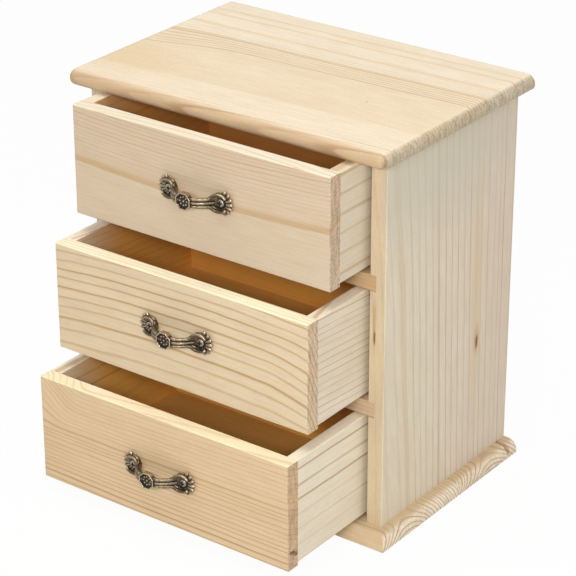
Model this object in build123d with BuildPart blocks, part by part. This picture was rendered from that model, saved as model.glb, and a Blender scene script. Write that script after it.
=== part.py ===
"""A small pine chest of three drawers that stands on a table.

Sizes are in millimetres. X runs to the right, Y to the rear and Z up.
The origin is the middle of the base board's underside.
The drawers stand as far open as the stated openings.
"""

import os

from build123d import *

# Fits
fit_gap = 0.1            # glued boards, dowels and screws in their seats
running_gap = 0.5        # drawer above the board that it slides on
overrun = 1.0            # how far a cut runs past the face that it opens

# Case
case_width = 200.0       # over both side panels
case_depth = 128.0       # side panels, front edge to rear edge
side_thickness = 10.0
bay_height = 66.5        # clear height of one drawer bay
bay_count = 3
board_ease = 0.6         # rounding of a sanded edge

# Shelves, housed in the side panels
shelf_thickness = 9.2
shelf_dado_share = 0.4               # housing's depth, of the side panel's thickness

# Back panel, held in grooves all round
back_thickness = 3.0
back_setback = 7.0       # rear edge of the side panels to the back panel
back_groove_share = 0.4              # groove's depth in sides and top, of the side panel's thickness
base_groove_share = 0.72             # groove's depth in the base board, of its thickness

# Base board
base_thickness = 7.9
base_side_overhang = 8.8
base_front_overhang = 11.0
base_lip = 1.4           # upright edge left below the quarter round

# Top board
top_thickness = 8.9
top_side_overhang = 7.4
top_front_overhang = 12.5
top_rear_overhang = 4.5
top_upper_round_share = 0.6          # of the top board's thickness
top_lower_round_share = 0.34
top_corner_round_share = 0.66        # front corners seen from above, of the thickness

# Dowels between the top board and the side panels
top_dowel_radius = 2.5
top_dowel_in_side = 12.0
top_dowel_in_top_share = 0.6         # of the top board's thickness
top_dowel_y_shares = (-0.3, 0.3)     # of the case depth, from its middle

# Screws through the base board into the side panels
base_screw_radius = 1.5
base_screw_head_radius = 3.2
base_screw_head_angle = 90.0         # so the head is as high as it widens
base_screw_length = 26.0
base_screw_point = 3.0
base_screw_tip_share = 0.12          # of the screw's radius
base_screw_y_shares = (-0.36, 0.3)   # of the case depth, from its middle
screw_cross_width = 0.8
screw_cross_depth = 0.9

# Drawers
drawer_side_gap = 3.6                # drawer side to side panel
drawer_head_gap = 1.5                # drawer to the board above it
drawer_front_thickness = 9.0
drawer_board_thickness = 7.5         # sides and back
drawer_side_lift = 1.8               # sides end this much above the front's lower edge
drawer_back_gap = 0.5                # closed drawer to the back panel
drawer_front_ease = 0.8
drawer_openings = {"top": 31.4, "middle": 50.5, "bottom": 68.0}

# Drawer bottom panel, in a groove round the drawer
floor_thickness = 3.0
floor_height = 7.0                   # front's lower edge to the panel's underside
floor_groove_share = 0.47            # groove's depth, of the drawer board's thickness

# Dowels in the drawer corners
corner_dowel_radius = 2.0
corner_dowel_in_board_share = 0.66   # of the drawer board's thickness
corner_dowel_in_side = 8.0
corner_dowel_shares = (0.36, 0.8)    # of the drawer side's height

# Bow pull, one casting with a boss in the middle and a lobe at each end
pull_length = 50.0
pull_projection = 13.5
pull_lobe_height = 12.4
pull_finger_gap = 8.8                # drawer face to the back of the bow
pull_lifts = {"top": 1.4, "middle": 2.6, "bottom": 0.0}    # above the middle of the front
pull_foot_share = 0.27               # each end's contact with the drawer face, of the length
boss_radius = 5.3                    # to the corners of the octagon
boss_sides = 8
boss_thickness = 4.2
boss_field_radius = 3.9
boss_field_depth = 0.8
# Height above the drawer face along the bow, as shares of half length and projection
bow_shares = ((1.0, 0.12), (0.86, 0.24), (0.68, 0.34), (0.46, 0.62), (0.24, 0.86), (0.0, 0.92))
# Half height of the bow seen from the front, as shares of half length and half lobe height
outline_shares = ((1.0, 0.5), (0.9, 0.88), (0.7, 1.0), (0.53, 0.8), (0.42, 0.56), (0.3, 0.5), (0.0, 0.5))

# Screws of the pull
pull_screw_share = 0.696             # between the screws, of the pull's length
pull_screw_radius = 1.1
pull_screw_head_radius = 2.3
pull_screw_head_height = 1.3
pull_screw_in_wood_share = 0.72      # of the drawer front's thickness
pull_screw_seat = 2.0                # drawer face to the screw's seat
pull_cross_width = 0.5
pull_cross_depth = 0.6

# Places that follow from the sizes above
bay_pitch = bay_height + shelf_thickness
case_height = bay_count * bay_pitch - shelf_thickness
case_bottom = base_thickness
case_top = case_bottom + case_height
base_width = case_width + 2 * base_side_overhang
base_depth = case_depth + base_front_overhang
case_rear = base_depth / 2
case_front = case_rear - case_depth
case_middle = (case_front + case_rear) / 2
case_inner_width = case_width - 2 * side_thickness
shelf_dado_depth = side_thickness * shelf_dado_share
back_groove_depth = side_thickness * back_groove_share
base_groove_depth = base_thickness * base_groove_share
base_round = base_thickness - base_lip
top_upper_round = top_thickness * top_upper_round_share
top_lower_round = top_thickness * top_lower_round_share
top_corner_round = top_thickness * top_corner_round_share
top_dowel_in_top = top_thickness * top_dowel_in_top_share
side_middle = (case_width - side_thickness) / 2
back_rear = case_rear - back_setback
back_front = back_rear - back_thickness
shelf_bottoms = {
    "lower": case_bottom + bay_height,
    "upper": case_bottom + bay_height + bay_pitch,
}
bay_floors = {
    "bottom": case_bottom,
    "middle": case_bottom + bay_pitch,
    "top": case_bottom + 2 * bay_pitch,
}
top_dowel_places = [
    (side * side_middle, case_middle + share * case_depth)
    for side in (-1, 1)
    for share in top_dowel_y_shares
]
base_screw_places = [
    (side * side_middle, case_middle + share * case_depth)
    for side in (-1, 1)
    for share in base_screw_y_shares
]
base_screw_head_height = base_screw_head_radius - base_screw_radius
drawer_width = case_inner_width - 2 * drawer_side_gap
drawer_front_height = bay_height - running_gap - drawer_head_gap
drawer_length = case_depth - back_setback - back_thickness - drawer_back_gap
drawer_side_length = drawer_length - drawer_front_thickness - drawer_board_thickness
drawer_side_height = drawer_front_height - drawer_side_lift
drawer_side_middle = (drawer_width - drawer_board_thickness) / 2
drawer_inner_width = drawer_width - 2 * drawer_board_thickness
floor_groove_depth = drawer_board_thickness * floor_groove_share
corner_dowel_in_board = drawer_board_thickness * corner_dowel_in_board_share
floor_width = drawer_inner_width + 2 * (floor_groove_depth - fit_gap)
floor_length = drawer_side_length + 2 * (floor_groove_depth - fit_gap)
floor_groove_height = floor_thickness + 2 * fit_gap
pull_half = pull_length / 2
pull_foot_length = pull_length * pull_foot_share
pull_screw_spacing = pull_length * pull_screw_share
pull_screw_in_wood = drawer_front_thickness * pull_screw_in_wood_share


def keep(piece, name):
    """Label a finished piece and write it to its own file."""
    piece.part.label = name
    export_step(piece.part, f"parts/{name}.step")


def facing(place, outward):
    """A plane at a place whose normal points outward, for holes and turned pieces."""
    return Plane(origin=place, z_dir=outward)


def base_board():
    """The board that carries the case, with its front and end edges in a quarter round."""
    groove_middle = (back_front + back_rear) / 2
    with BuildPart() as board:
        with BuildSketch():
            Rectangle(base_width, base_depth)
        extrude(amount=base_thickness)
        upper_edges = board.faces().sort_by(Axis.Z)[-1].edges()
        fillet(upper_edges.sort_by(Axis.Y)[:-1], base_round)
        with BuildSketch(Plane.XY.offset(base_thickness - base_groove_depth)):
            with Locations((0, groove_middle)):
                Rectangle(base_width + 2 * overrun, back_thickness + 2 * fit_gap)
        extrude(amount=base_groove_depth + overrun, mode=Mode.SUBTRACT)
        with Locations(*[facing((x, y, 0), (0, 0, -1)) for x, y in base_screw_places]):
            CounterSinkHole(
                base_screw_radius + fit_gap,
                base_screw_head_radius + 2 * fit_gap,
                counter_sink_angle=base_screw_head_angle,
            )
    keep(board, "base_board")


def top_board():
    """The cover board: rounded along the front, its corners and both ends, square at the rear."""
    width = case_width + 2 * top_side_overhang
    depth = case_depth + top_front_overhang + top_rear_overhang
    middle = case_middle + (top_rear_overhang - top_front_overhang) / 2
    groove_width = case_inner_width + 2 * back_groove_depth
    with BuildPart() as board:
        with BuildSketch(Plane.XY.offset(case_top)):
            with Locations((0, middle)):
                Rectangle(width, depth)
        extrude(amount=top_thickness)
        upright_edges = board.edges().filter_by(Axis.Z)
        fillet(upright_edges.group_by(Axis.Y)[0], top_corner_round)
        upper_edges = board.faces().sort_by(Axis.Z)[-1].edges()
        lower_edges = board.faces().sort_by(Axis.Z)[0].edges()
        fillet(upper_edges.sort_by(Axis.Y)[:-1], top_upper_round)
        fillet(lower_edges.sort_by(Axis.Y)[:-1], top_lower_round)
        with BuildSketch(Plane.XY.offset(case_top - overrun)):
            with Locations((0, (back_front + back_rear) / 2)):
                Rectangle(groove_width, back_thickness + 2 * fit_gap)
        extrude(amount=back_groove_depth + overrun, mode=Mode.SUBTRACT)
        with Locations(*[facing((x, y, case_top), (0, 0, -1)) for x, y in top_dowel_places]):
            Hole(top_dowel_radius + fit_gap, top_dowel_in_top + fit_gap)
    keep(board, "top_board")


def side_panel(name, side):
    """A side panel with shelf housings and the back panel's groove on its inner face."""
    inner_face = side * case_inner_width / 2
    housing_length = back_front - case_front + overrun
    with BuildPart() as panel:
        with BuildSketch(Plane.XY.offset(case_bottom)):
            with Locations((side * side_middle, case_middle)):
                Rectangle(side_thickness, case_depth)
        extrude(amount=case_height)
        fillet(panel.edges().filter_by(Axis.Z), board_ease)
        for shelf_bottom in shelf_bottoms.values():
            with BuildSketch(Plane.XY.offset(shelf_bottom)):
                with Locations((inner_face, case_front - overrun + housing_length / 2)):
                    Rectangle(2 * shelf_dado_depth, housing_length)
            extrude(amount=shelf_thickness + fit_gap, mode=Mode.SUBTRACT)
        with BuildSketch(Plane.XY.offset(case_bottom - overrun)):
            with Locations((inner_face, (back_front + back_rear) / 2)):
                Rectangle(2 * back_groove_depth, back_thickness + 2 * fit_gap)
        extrude(amount=case_height + 2 * overrun, mode=Mode.SUBTRACT)
        own_dowels = [(x, y) for x, y in top_dowel_places if x * side > 0]
        with Locations(*[facing((x, y, case_top), (0, 0, 1)) for x, y in own_dowels]):
            Hole(top_dowel_radius + fit_gap, top_dowel_in_side + fit_gap)
        own_screws = [(x, y) for x, y in base_screw_places if x * side > 0]
        with Locations(*[facing((x, y, case_bottom), (0, 0, -1)) for x, y in own_screws]):
            Hole(base_screw_radius + fit_gap, base_screw_length - base_thickness + overrun)
    keep(panel, name)


def back_panel():
    """The thin panel that closes the case behind the drawers."""
    width = case_inner_width + 2 * (back_groove_depth - fit_gap)
    bottom = base_thickness - base_groove_depth
    height = case_height + base_groove_depth + back_groove_depth - 2 * fit_gap
    with BuildPart() as panel:
        with BuildSketch(Plane.XY.offset(bottom + fit_gap)):
            with Locations((0, (back_front + back_rear) / 2)):
                Rectangle(width, back_thickness)
        extrude(amount=height)
    keep(panel, "back_panel")


def shelf(name, shelf_bottom):
    """A shelf between two bays, flush with the front of the side panels."""
    width = case_inner_width + 2 * (shelf_dado_depth - fit_gap)
    depth = back_front - fit_gap - case_front
    with BuildPart() as board:
        with BuildSketch(Plane.XY.offset(shelf_bottom)):
            with Locations((0, case_front + depth / 2)):
                Rectangle(width, depth)
        extrude(amount=shelf_thickness)
        fillet(board.faces().sort_by(Axis.Y)[0].edges().filter_by(Axis.X), board_ease)
    keep(board, name)


def top_dowels():
    """Wooden pins that hold the top board on the side panels."""
    length = top_dowel_in_side + top_dowel_in_top
    bottom = case_top - top_dowel_in_side
    with BuildPart() as dowels:
        with BuildSketch(Plane.XY.offset(bottom)):
            with Locations(*top_dowel_places):
                Circle(top_dowel_radius)
        extrude(amount=length)
    keep(dowels, "top_dowels")


def base_screws():
    """Countersunk screws driven up through the base board."""
    shank = base_screw_length - base_screw_point - base_screw_head_height
    with BuildPart() as screws:
        with Locations(*[(x, y, fit_gap) for x, y in base_screw_places]):
            Cone(
                base_screw_head_radius,
                base_screw_radius,
                base_screw_head_height,
                align=(Align.CENTER, Align.CENTER, Align.MIN),
            )
        with Locations(*[(x, y, base_screw_head_height) for x, y in base_screw_places]):
            Cylinder(
                base_screw_radius,
                shank,
                align=(Align.CENTER, Align.CENTER, Align.MIN),
            )
        with Locations(*[(x, y, base_screw_head_height + shank) for x, y in base_screw_places]):
            Cone(
                base_screw_radius,
                base_screw_radius * base_screw_tip_share,
                base_screw_point,
                align=(Align.CENTER, Align.CENTER, Align.MIN),
            )
        with BuildSketch():
            with Locations(*base_screw_places):
                Rectangle(2 * base_screw_radius, screw_cross_width)
                Rectangle(screw_cross_width, 2 * base_screw_radius)
        extrude(amount=screw_cross_depth, mode=Mode.SUBTRACT)
    keep(screws, "base_screws")


def drawer_front(name, face, bottom, pull_middle):
    """A drawer front with the bottom panel's groove, dowel holes and pilot holes."""
    inner_face = face + drawer_front_thickness
    with BuildPart() as front:
        with BuildSketch(Plane.XY.offset(bottom)):
            with Locations((0, face + drawer_front_thickness / 2)):
                Rectangle(drawer_width, drawer_front_thickness)
        extrude(amount=drawer_front_height)
        fillet(front.faces().sort_by(Axis.Y)[0].edges(), drawer_front_ease)
        with BuildSketch(Plane.XY.offset(bottom + floor_height - fit_gap)):
            with Locations((0, inner_face)):
                Rectangle(floor_width + 2 * fit_gap, 2 * floor_groove_depth)
        extrude(amount=floor_groove_height, mode=Mode.SUBTRACT)
        with Locations(*[facing((x, inner_face, z), (0, 1, 0)) for x, z in corner_places(bottom)]):
            Hole(corner_dowel_radius + fit_gap, corner_dowel_in_board + fit_gap)
        with Locations(*[facing((x, face, pull_middle), (0, -1, 0)) for x in pull_screw_xs()]):
            Hole(pull_screw_radius + fit_gap, pull_screw_in_wood + fit_gap)
    keep(front, name)


def drawer_back(name, face, bottom):
    """A drawer back, as high as the front, whose lower edge slides on the board below."""
    inner_face = face + drawer_length - drawer_board_thickness
    with BuildPart() as back:
        with BuildSketch(Plane.XY.offset(bottom)):
            with Locations((0, inner_face + drawer_board_thickness / 2)):
                Rectangle(drawer_width, drawer_board_thickness)
        extrude(amount=drawer_front_height)
        fillet(back.faces().sort_by(Axis.Y)[-1].edges(), board_ease)
        with BuildSketch(Plane.XY.offset(bottom + floor_height - fit_gap)):
            with Locations((0, inner_face)):
                Rectangle(floor_width + 2 * fit_gap, 2 * floor_groove_depth)
        extrude(amount=floor_groove_height, mode=Mode.SUBTRACT)
        with Locations(*[facing((x, inner_face, z), (0, -1, 0)) for x, z in corner_places(bottom)]):
            Hole(corner_dowel_radius + fit_gap, corner_dowel_in_board + fit_gap)
    keep(back, name)


def drawer_side(name, side, face, bottom):
    """A drawer side between the front and the back, with the bottom panel's groove."""
    start = face + drawer_front_thickness
    end = start + drawer_side_length
    inner_face = side * drawer_inner_width / 2
    with BuildPart() as board:
        with BuildSketch(Plane.XY.offset(bottom + drawer_side_lift)):
            with Locations((side * drawer_side_middle, (start + end) / 2)):
                Rectangle(drawer_board_thickness, drawer_side_length)
        extrude(amount=drawer_side_height)
        fillet(board.edges().filter_by(Axis.Y), board_ease)
        with BuildSketch(Plane.XY.offset(bottom + floor_height - fit_gap)):
            with Locations((inner_face, (start + end) / 2)):
                Rectangle(2 * floor_groove_depth, drawer_side_length + 2 * overrun)
        extrude(amount=floor_groove_height, mode=Mode.SUBTRACT)
        own_places = [(x, z) for x, z in corner_places(bottom) if x * side > 0]
        with Locations(*[facing((x, start, z), (0, -1, 0)) for x, z in own_places]):
            Hole(corner_dowel_radius + fit_gap, corner_dowel_in_side + fit_gap)
        with Locations(*[facing((x, end, z), (0, 1, 0)) for x, z in own_places]):
            Hole(corner_dowel_radius + fit_gap, corner_dowel_in_side + fit_gap)
    keep(board, name)


def drawer_floor(name, face, bottom):
    """The thin panel that closes a drawer below."""
    middle = face + drawer_front_thickness + drawer_side_length / 2
    with BuildPart() as panel:
        with BuildSketch(Plane.XY.offset(bottom + floor_height)):
            with Locations((0, middle)):
                Rectangle(floor_width, floor_length)
        extrude(amount=floor_thickness)
    keep(panel, name)


def corner_places(bottom):
    """Where the corner dowels stand, as X and Z."""
    return [
        (side * drawer_side_middle, bottom + drawer_side_lift + share * drawer_side_height)
        for side in (-1, 1)
        for share in corner_dowel_shares
    ]


def corner_dowels(name, face, bottom):
    """Wooden pins that join a drawer's sides to its front and back."""
    length = corner_dowel_in_board + corner_dowel_in_side
    front_start = face + drawer_front_thickness - corner_dowel_in_board
    back_start = face + drawer_length - drawer_board_thickness - corner_dowel_in_side
    with BuildPart() as dowels:
        for start in (front_start, back_start):
            with BuildSketch(Plane.XZ.offset(-start)):
                with Locations(*corner_places(bottom)):
                    Circle(corner_dowel_radius)
            extrude(amount=-length)
    keep(dowels, name)


def pull_screw_xs():
    """X of the two screws of a pull."""
    return (-pull_screw_spacing / 2, pull_screw_spacing / 2)


def both_ways(points):
    """Points of a right half, then the same points mirrored to the left half."""
    return points + [(-x, y) for x, y in reversed(points[:-1])]


def drawer_pull(name, face, middle):
    """A bow pull: its height over the drawer face cut by its outline from the front."""
    half_lobe = pull_lobe_height / 2
    foot = pull_half - pull_foot_length
    seen_from_above = Plane(origin=(0, face, middle), x_dir=(1, 0, 0), z_dir=(0, 0, 1))
    seen_from_front = Plane(origin=(0, face, middle), x_dir=(1, 0, 0), z_dir=(0, -1, 0))
    bow = both_ways([(x * pull_half, -y * pull_projection) for x, y in bow_shares])
    outline = both_ways([(x * pull_half, y * half_lobe) for x, y in outline_shares])
    with BuildPart() as pull:
        with BuildSketch(seen_from_above):
            with BuildLine():
                Spline(*bow)
                Line(bow[-1], (-pull_half, 0))
                Line((-pull_half, 0), (-foot, 0))
                ThreePointArc((-foot, 0), (0, -pull_finger_gap), (foot, 0))
                Line((foot, 0), (pull_half, 0))
                Line((pull_half, 0), bow[0])
            make_face()
        extrude(amount=half_lobe, both=True)
        with BuildSketch(seen_from_front):
            with BuildLine():
                Spline(*outline)
                Line(outline[-1], (outline[-1][0], -outline[-1][1]))
                Spline(*[(x, -y) for x, y in reversed(outline)])
                Line((outline[0][0], -outline[0][1]), outline[0])
            make_face()
        extrude(amount=pull_projection, mode=Mode.INTERSECT)
        with BuildSketch(seen_from_front.offset(pull_projection - boss_thickness)):
            RegularPolygon(boss_radius, boss_sides, rotation=180 / boss_sides)
        extrude(amount=boss_thickness)
        with BuildSketch(seen_from_front.offset(pull_projection - boss_field_depth)):
            Circle(boss_field_radius)
        extrude(amount=boss_field_depth, mode=Mode.SUBTRACT)
        crest = face - pull_projection
        with Locations(*[facing((x, crest, middle), (0, -1, 0)) for x in pull_screw_xs()]):
            CounterBoreHole(
                pull_screw_radius + fit_gap,
                pull_screw_head_radius + 2 * fit_gap,
                pull_projection - pull_screw_seat,
            )
    keep(pull, name)


def pull_screws(name, face, middle):
    """The two cross-head screws that hold a pull."""
    seat = face - pull_screw_seat
    head_top = pull_screw_head_height
    with BuildPart() as screws:
        with Locations(*[facing((x, seat, middle), (0, -1, 0)) for x in pull_screw_xs()]):
            Cylinder(
                pull_screw_head_radius,
                head_top,
                align=(Align.CENTER, Align.CENTER, Align.MIN),
            )
            Cylinder(
                pull_screw_radius,
                pull_screw_seat + pull_screw_in_wood,
                align=(Align.CENTER, Align.CENTER, Align.MAX),
            )
        with BuildSketch(facing((0, seat - head_top, middle), (0, -1, 0))):
            with Locations(*[(x, 0) for x in pull_screw_xs()]):
                Rectangle(pull_screw_head_radius, pull_cross_width)
                Rectangle(pull_cross_width, pull_screw_head_radius)
        extrude(amount=-pull_cross_depth, mode=Mode.SUBTRACT)
    keep(screws, name)


def drawer(place):
    """All pieces of one drawer, in the bay of that name."""
    face = case_front - drawer_openings[place]
    bottom = bay_floors[place] + running_gap
    pull_middle = bottom + drawer_front_height / 2 + pull_lifts[place]
    drawer_front(f"{place}_drawer_front", face, bottom, pull_middle)
    drawer_back(f"{place}_drawer_back", face, bottom)
    drawer_side(f"{place}_drawer_left_side", -1, face, bottom)
    drawer_side(f"{place}_drawer_right_side", 1, face, bottom)
    drawer_floor(f"{place}_drawer_floor", face, bottom)
    corner_dowels(f"{place}_drawer_dowels", face, bottom)
    drawer_pull(f"{place}_drawer_pull", face, pull_middle)
    pull_screws(f"{place}_drawer_pull_screws", face, pull_middle)


os.makedirs("parts", exist_ok=True)
base_board()
top_board()
side_panel("left_side_panel", -1)
side_panel("right_side_panel", 1)
back_panel()
for shelf_place, shelf_level in shelf_bottoms.items():
    shelf(f"{shelf_place}_shelf", shelf_level)
top_dowels()
base_screws()
for drawer_place in drawer_openings:
    drawer(drawer_place)
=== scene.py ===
# %% [markdown]
# # A pine chest of three drawers, dressed in Blender
# The chest comes in as finished boards, dowels and screws, all in one frame in metres.
# This lesson gives the boards their wood, models the cast pulls and their screws,
# and sets up the camera and the light. Lengths of the wood and the pulls are written in millimetres.

# %% Load the boards
import math

import bpy
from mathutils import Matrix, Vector


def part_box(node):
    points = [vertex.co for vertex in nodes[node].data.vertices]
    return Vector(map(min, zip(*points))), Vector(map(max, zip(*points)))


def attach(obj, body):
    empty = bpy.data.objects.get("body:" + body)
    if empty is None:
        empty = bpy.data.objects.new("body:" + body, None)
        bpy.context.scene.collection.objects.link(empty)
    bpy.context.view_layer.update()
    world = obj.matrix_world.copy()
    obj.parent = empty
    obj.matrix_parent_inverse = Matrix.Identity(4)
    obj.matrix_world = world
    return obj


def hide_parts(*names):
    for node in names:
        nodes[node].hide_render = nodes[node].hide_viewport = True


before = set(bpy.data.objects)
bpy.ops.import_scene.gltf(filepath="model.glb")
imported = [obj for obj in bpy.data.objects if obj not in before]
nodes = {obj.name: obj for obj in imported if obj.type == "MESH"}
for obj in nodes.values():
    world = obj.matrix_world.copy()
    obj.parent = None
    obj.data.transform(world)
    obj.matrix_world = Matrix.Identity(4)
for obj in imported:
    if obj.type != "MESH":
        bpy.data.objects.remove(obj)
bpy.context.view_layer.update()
MM = 0.001
print("boards and fittings loaded:", len(nodes))

# %% [markdown]
# The photograph was taken with a long lens from the front right, a little above the chest.
# The camera could be placed by eye, but a place worked out from the chest's corners puts
# every edge where the photograph has it. The lens is given for a sensor 36 mm wide.

# %% Camera
CAMERA_PLACE = Vector((0.72763, -0.99166, 0.69579))
CAMERA_AIM = Vector((-0.001278, -0.007691, 0.105753))
CAMERA_LENS = 148.59
CAMERA_ROLL = math.radians(-0.098)
SENSOR_WIDTH = 36.0
NEAR_LIMIT = 0.05

scene = bpy.context.scene
camera_data = bpy.data.cameras.new("camera")
camera_data.lens = CAMERA_LENS
camera_data.sensor_width = SENSOR_WIDTH
camera_data.clip_start = NEAR_LIMIT
camera = bpy.data.objects.new("camera", camera_data)
scene.collection.objects.link(camera)
camera.location = CAMERA_PLACE
turn = (CAMERA_AIM - CAMERA_PLACE).to_track_quat("-Z", "Y").to_euler()
turn.rotate_axis("Z", CAMERA_ROLL)
camera.rotation_euler = turn
scene.camera = camera
print("camera distance", round((CAMERA_AIM - CAMERA_PLACE).length, 3))

# %% [markdown]
# A shader is a small network of nodes. It could be wired by hand in the editor, but written down it
# can be built again for every board. One helper adds a node and fills its inputs with values or
# links. The others are short names for the steps that come back in every material: arithmetic on
# a value or a point, easing from one value to another, and blending.


# %% Helpers for shader nodes
def add_node(tree, kind, inputs=None, **settings):
    """Add a node, set its options, and give each named input a value or a link."""
    made = tree.nodes.new(kind)
    for name, value in settings.items():
        setattr(made, name, value)
    for name, value in (inputs or {}).items():
        if isinstance(value, bpy.types.NodeSocket):
            tree.links.new(value, made.inputs[name])
        else:
            made.inputs[name].default_value = value
    return made


def work_out(tree, operation, first, second=0.0, third=0.0):
    """One step of arithmetic."""
    inputs = {0: first, 1: second, 2: third}
    return add_node(tree, "ShaderNodeMath", inputs, operation=operation).outputs[0]


def work_out_point(tree, operation, point, amount):
    """One step of arithmetic on all three parts of a point."""
    return add_node(tree, "ShaderNodeVectorMath", {0: point, 1: amount}, operation=operation).outputs[0]


def parts_of(tree, point):
    """The X, Y and Z of a point or a direction."""
    return add_node(tree, "ShaderNodeSeparateXYZ", {0: point}).outputs


def ease(tree, value, low, high, start=0.0, end=1.0):
    """Ease a value from start to end while it goes from low to high."""
    inputs = {"Value": value, "From Min": low, "From Max": high, "To Min": start, "To Max": end}
    made = add_node(tree, "ShaderNodeMapRange", inputs, interpolation_type="SMOOTHSTEP")
    return made.outputs["Result"]


def between(tree, share, first, second):
    """Go from the first value to the second by a share."""
    return add_node(tree, "ShaderNodeMix", {0: share, 2: first, 3: second}).outputs[0]


def blend(tree, share, first, second, how="MIX"):
    """Blend two colours."""
    inputs = {0: share, 6: first, 7: second}
    return add_node(tree, "ShaderNodeMix", inputs, data_type="RGBA", blend_type=how).outputs[2]


print("helpers for nodes ready")

# %% [markdown]
# Wood and metal are never one flat tone. A picture could give the small changes, but noise has no
# seams and fits any piece. It is drawn out along the grain for fibres and shades of wood, and even
# in all directions for pores and speckles. A bump lets the light catch on what is too fine to model.

# %% Helpers for noise and materials
GRAIN_ROUGHNESS = 0.55


def stretched_noise(tree, place, along, across, detail=2.0):
    """Noise in waves per metre along and across the grain, which runs along X of the place."""
    stretched = work_out_point(tree, "MULTIPLY", place, (along, across, across))
    inputs = {"Vector": stretched, "Scale": 1.0, "Detail": detail, "Roughness": GRAIN_ROUGHNESS}
    return add_node(tree, "ShaderNodeTexNoise", inputs, noise_dimensions="3D").outputs[0]


def fine_noise(tree, place, scale, detail=2.0):
    """Noise that is the same in all directions."""
    inputs = {"Vector": place, "Scale": scale, "Detail": detail}
    return add_node(tree, "ShaderNodeTexNoise", inputs).outputs[0]


def new_material(name):
    """An empty node material with its shader and output joined."""
    material = bpy.data.materials.new(name)
    material.use_nodes = True
    tree = material.node_tree
    tree.nodes.clear()
    shader = add_node(tree, "ShaderNodeBsdfPrincipled")
    add_node(tree, "ShaderNodeOutputMaterial", {"Surface": shader.outputs[0]})
    return material, tree, shader


def finish_surface(tree, shader, colour, roughness, height, bump_strength, bump_depth):
    """Join a colour, a roughness and a bump to the shader."""
    inputs = {"Strength": bump_strength, "Distance": bump_depth, "Height": height}
    bump = add_node(tree, "ShaderNodeBump", inputs)
    tree.links.new(colour, shader.inputs["Base Color"])
    tree.links.new(roughness, shader.inputs["Roughness"])
    tree.links.new(bump.outputs[0], shader.inputs["Normal"])


print("helpers for noise and materials ready")

# %% [markdown]
# The chest stands on a plain white sweep, as in a studio. The floor is an ordinary white surface
# for the light that it sends back to the chest. The camera sees it whiter still, by a share of
# plain white, and the rest of what the camera sees keeps the chest's soft shadow. Metal shows the
# same white, so rays that come by way of a reflection count as seen too.

# %% Floor and surroundings
FLOOR_SIZE = 12.0
FLOOR_DROP = 0.4 * MM  # keeps the floor clear of the base board's underside
FLOOR_TONE = (0.82, 0.82, 0.82, 1.0)
FLOOR_WHITE_SHARE = 0.96
SKY_STRENGTH = 0.4
WHITE = (1.0, 1.0, 1.0, 1.0)


def seen_rays(tree):
    """1 for the rays that show the surroundings to the camera, 0 for those that only bring light."""
    rays = add_node(tree, "ShaderNodeLightPath").outputs
    seen = work_out(tree, "MAXIMUM", rays["Is Camera Ray"], rays["Is Glossy Ray"])
    return work_out(tree, "MAXIMUM", seen, rays["Is Transmission Ray"])


bpy.ops.object.select_all(action="DESELECT")
bpy.ops.mesh.primitive_plane_add(size=FLOOR_SIZE, location=(0, 0, -FLOOR_DROP))
floor = bpy.context.object
floor.name = "floor"
floor_material = bpy.data.materials.new("white_floor")
floor_material.use_nodes = True
floor_tree = floor_material.node_tree
floor_tree.nodes.clear()
lit = add_node(floor_tree, "ShaderNodeBsdfDiffuse", {"Color": FLOOR_TONE}).outputs[0]
white = add_node(floor_tree, "ShaderNodeEmission", {"Color": WHITE, "Strength": 1.0}).outputs[0]
white_share = work_out(floor_tree, "MULTIPLY", seen_rays(floor_tree), FLOOR_WHITE_SHARE)
floor_mix = add_node(floor_tree, "ShaderNodeMixShader", {0: white_share, 1: lit, 2: white})
add_node(floor_tree, "ShaderNodeOutputMaterial", {"Surface": floor_mix.outputs[0]})
floor.data.materials.append(floor_material)

world = bpy.data.worlds.new("studio")
scene.world = world
world.use_nodes = True
sky_tree = world.node_tree
sky_tree.nodes.clear()
sky_level = ease(sky_tree, seen_rays(sky_tree), 0.0, 1.0, SKY_STRENGTH, 1.0)
sky = add_node(sky_tree, "ShaderNodeBackground", {"Color": WHITE, "Strength": sky_level})
add_node(sky_tree, "ShaderNodeOutputWorld", {"Surface": sky.outputs[0]})
print("floor and sky made")

# %% [markdown]
# Soft light comes from large panels. The main one hangs above the chest, a little to the front
# left, so the top board is the brightest face. A low, wide strip stands at the camera's height and
# shines over the fronts into the open drawers, and a weak panel at the right lifts the side.
# Small lamps would do as well for the level of the light, but their shadows would be too sharp.

# %% Light panels
LIGHTS = {
    "main_panel": dict(place=(-0.1, -0.25, 1.6), size=(1.1, 1.1), power=11.4, colour=(1.0, 0.98, 0.95)),
    "camera_panel": dict(place=(0.62, -1.05, 0.73), size=(0.7, 0.13), power=10.3, colour=(1.0, 0.97, 0.93)),
    "side_panel": dict(place=(1.5, -0.2, 0.8), size=(1.0, 1.0), power=0.8, colour=(0.97, 0.98, 1.0)),
}
LIGHT_AIM = Vector((0, 0, 0.1))

for light_name, facts in LIGHTS.items():
    lamp_data = bpy.data.lights.new(light_name, "AREA")
    lamp_data.shape = "RECTANGLE"
    lamp_data.size, lamp_data.size_y = facts["size"]
    lamp_data.energy = facts["power"]
    lamp_data.color = facts["colour"]
    lamp = bpy.data.objects.new(light_name, lamp_data)
    scene.collection.objects.link(lamp)
    lamp.location = facts["place"]
    lamp.rotation_euler = (LIGHT_AIM - lamp.location).to_track_quat("-Z", "Y").to_euler()
scene.view_settings.view_transform = "Standard"
print("light panels:", list(LIGHTS))

# %% [markdown]
# Pine shows its growth rings. A flat picture of wood would not fit round the corners of a board,
# so the rings are worked out in space: each point's distance from the middle of the tree gives
# its ring, and the board is a cut through that tree. The faces then show lines or flames, and the
# ends show arcs, as on a real board. The tree's trunk runs along X of the place that comes in.
# Slow noise makes the rings wander, a bow bends the trunk, and a taper widens it along its length.

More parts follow.
